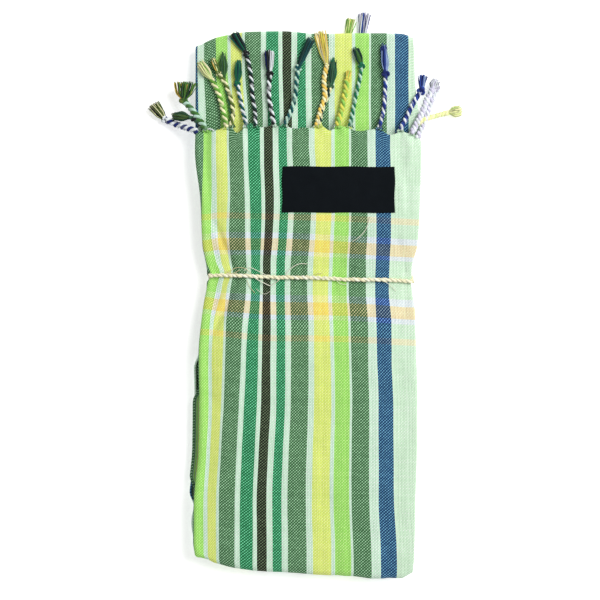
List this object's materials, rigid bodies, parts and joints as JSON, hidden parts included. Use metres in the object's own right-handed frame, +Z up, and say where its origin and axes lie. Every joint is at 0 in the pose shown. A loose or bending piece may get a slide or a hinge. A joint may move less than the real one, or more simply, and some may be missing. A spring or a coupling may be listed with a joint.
{
  "type": "folded kikoy cloth",
  "caption": "Striped cotton kikoy cloth with twisted, knotted fringes, folded into a flat bundle, tied round the waist with natural twine, with a bare woven label.",
  "frame": {"origin": "centre of the footprint, on the surface that the folded cloth lies on", "axes": "+X across the bundle, to the right in the front view; +Y along it, from the bottom folds to the top fold; +Z up, out of the front flap"},
  "size_m": [0.2472, 0.4398, 0.0202],
  "materials": {
    "cloth": "striped cotton twill, soft and matt",
    "cloth_inner": "the same cotton twill, hidden plies",
    "label_weave": "bare black woven label, slight sheen",
    "twine": "two-ply natural twine, hairy and matt",
    "fringe": "twisted and knotted cotton warp ends in the stripes' colours"
  },
  "bodies": {
    "root": {"front_flap": "cloth", "middle_fold": "cloth", "under_flap": "cloth", "hidden_layers": "cloth_inner", "label": "label_weave", "tie_twine": "twine", "fringe_front": "fringe", "fringe_left": "fringe", "fringe_right": "fringe", "fringe_under": "fringe"}
  },
  "joints": []
}
